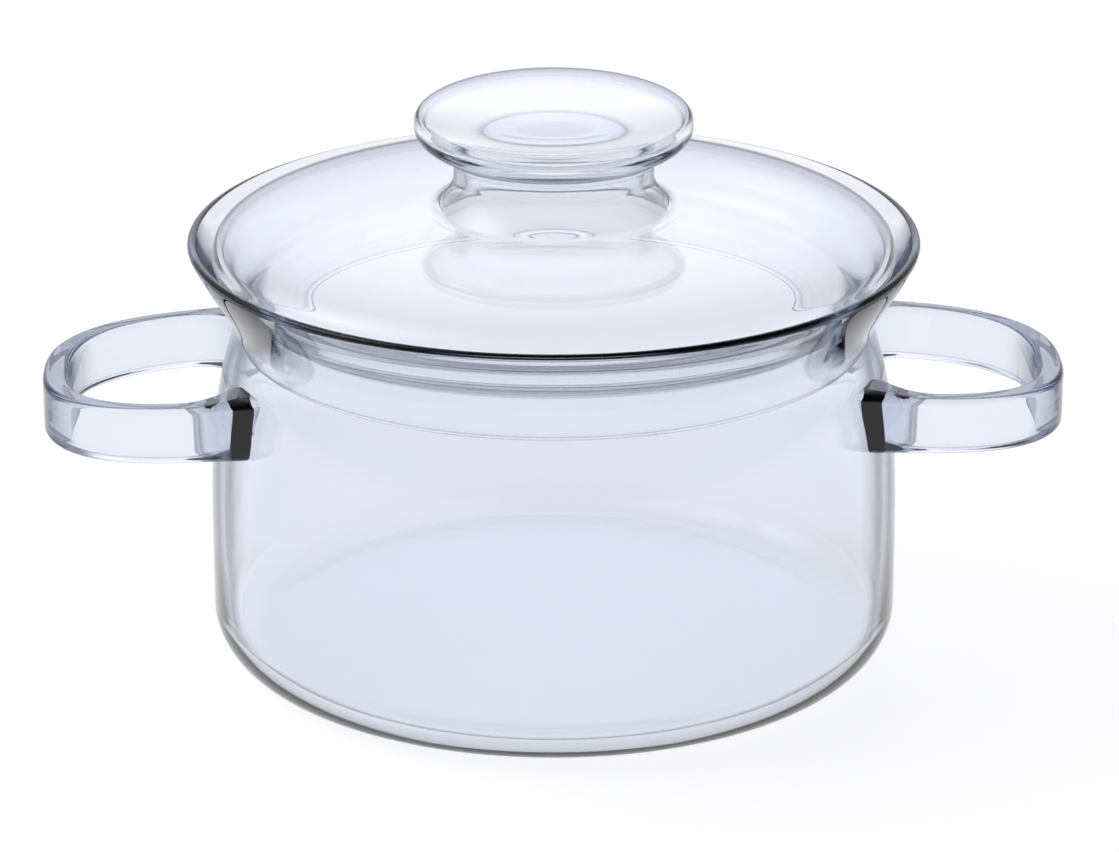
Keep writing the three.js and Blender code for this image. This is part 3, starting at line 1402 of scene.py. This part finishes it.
@dataclass
class Studio:
    """A pale lit table in soft studio light, and the camera of the photograph.

    The sky's levels give the light of the walls and ceiling by the sine of the height above the
    horizon. Pale low walls brighten the glass, and the dark above them draws its lines.
    """

    camera_distance: float = 1300 * MM
    camera_elevation: float = 0.357
    camera_turn: float = math.radians(-2.1)
    camera_clip: float = 10 * MM
    lens: float = 167.9
    target: tuple[float, float, float] = (1.4 * MM, 0.0, 56.8 * MM)
    table_glass: OpalGlass = OpalGlass()
    table_half: float = 6.0
    table_level: float = -0.2 * MM
    sky_colour: str = "#F1F2FF"
    sky_levels: tuple[tuple[float, float], ...] = (
        (0.0, 0.5), (0.1, 0.36), (0.35, 0.3), (0.55, 0.03), (1.0, 0.06),
    )
    lights: tuple[SoftLight, ...] = (
        SoftLight((0.0, 1.0, 0.45), 9.0, 1.3),
        SoftLight((-0.7, 0.15, 0.7), 14.0, 2.5),
    )
    bounces: int = 32
    glossy_bounces: int = 16

    def camera(self) -> None:
        """Place the camera where the photograph was taken from."""
        data = bpy.data.cameras.new("camera")
        data.lens = self.lens
        data.clip_start = self.camera_clip
        camera = bpy.data.objects.new("camera", data)
        bpy.context.scene.collection.objects.link(camera)
        target = Vector(self.target)
        back = Vector((0.0, -math.cos(self.camera_elevation), math.sin(self.camera_elevation)))
        turn = Matrix.Rotation(self.camera_turn, 3, "Z")
        eye = turn @ (target + back * self.camera_distance)
        camera.location = eye
        camera.rotation_euler = (turn @ target - eye).to_track_quat("-Z", "Y").to_euler()
        bpy.context.scene.camera = camera

    def floor(self) -> None:
        """Lay the pale table top a hair below the pot, so that the two never share a face."""
        mesh = bpy.data.meshes.new("table_top")
        ways = ((-1, -1), (1, -1), (1, 1), (-1, 1))
        corners = [(x * self.table_half, y * self.table_half, self.table_level) for x, y in ways]
        mesh.from_pydata(corners, [], [(0, 1, 2, 3)])
        mesh.materials.append(self.table_glass.material())
        table = bpy.data.objects.new("table_top", mesh)
        bpy.context.scene.collection.objects.link(table)

    def sky(self) -> None:
        """Surround the table with pale low walls, a dark ceiling and the soft lights."""
        world = bpy.data.worlds.new("studio")
        bpy.context.scene.world = world
        world.use_nodes = True
        tree = world.node_tree
        tree.nodes.clear()
        place = add_node(tree, "ShaderNodeTexCoord").outputs["Generated"]
        height = add_node(tree, "ShaderNodeSeparateXYZ", {"Vector": place}).outputs["Z"]
        ramp = add_node(tree, "ShaderNodeValToRGB", {"Fac": height})
        elements = ramp.color_ramp.elements
        for position, _ in self.sky_levels[1:-1]:
            elements.new(position)
        for element, (position, level) in zip(elements, self.sky_levels):
            element.position = position
            element.color = (level, level, level, 1.0)
        total = ramp.outputs["Color"]
        for light in self.lights:
            facing = add_node(
                tree,
                "ShaderNodeVectorMath",
                {0: place, 1: Vector(light.direction).normalized()},
                operation="DOT_PRODUCT",
            )
            ahead = add_node(
                tree, "ShaderNodeMath", {0: facing.outputs["Value"], 1: 0.0}, operation="MAXIMUM"
            )
            lobe = add_node(
                tree,
                "ShaderNodeMath",
                {0: ahead.outputs[0], 1: light.tightness},
                operation="POWER",
            )
            total = add_node(
                tree,
                "ShaderNodeMath",
                {0: lobe.outputs[0], 1: light.level, 2: total},
                operation="MULTIPLY_ADD",
            ).outputs[0]
        shine = add_node(
            tree, "ShaderNodeBackground", {"Color": linear(self.sky_colour), "Strength": total}
        )
        add_node(tree, "ShaderNodeOutputWorld", {"Surface": shine.outputs["Background"]})

    def build(self) -> None:
        """Set up the table, the light and the camera, with enough bounces for four walls of glass."""
        self.floor()
        self.sky()
        self.camera()
        scene = bpy.context.scene
        scene.view_settings.view_transform = "Standard"
        scene.cycles.max_bounces = self.bounces
        scene.cycles.transmission_bounces = self.bounces
        scene.cycles.glossy_bounces = self.glossy_bounces


def main() -> None:
    """Build the pot, its lid and the studio, and log the face count of each piece."""
    logging.basicConfig(level=logging.INFO, format="%(name)s: %(message)s")
    vessel = Vessel()
    handles = [Handle(side, vessel) for side in Side]
    for piece in (Pot(vessel, handles).build(), Lid(vessel).build()):
        log.info("%s: %d faces", piece.name, len(piece.data.polygons))
    Studio().build()


if __name__ == "__main__":
    main()
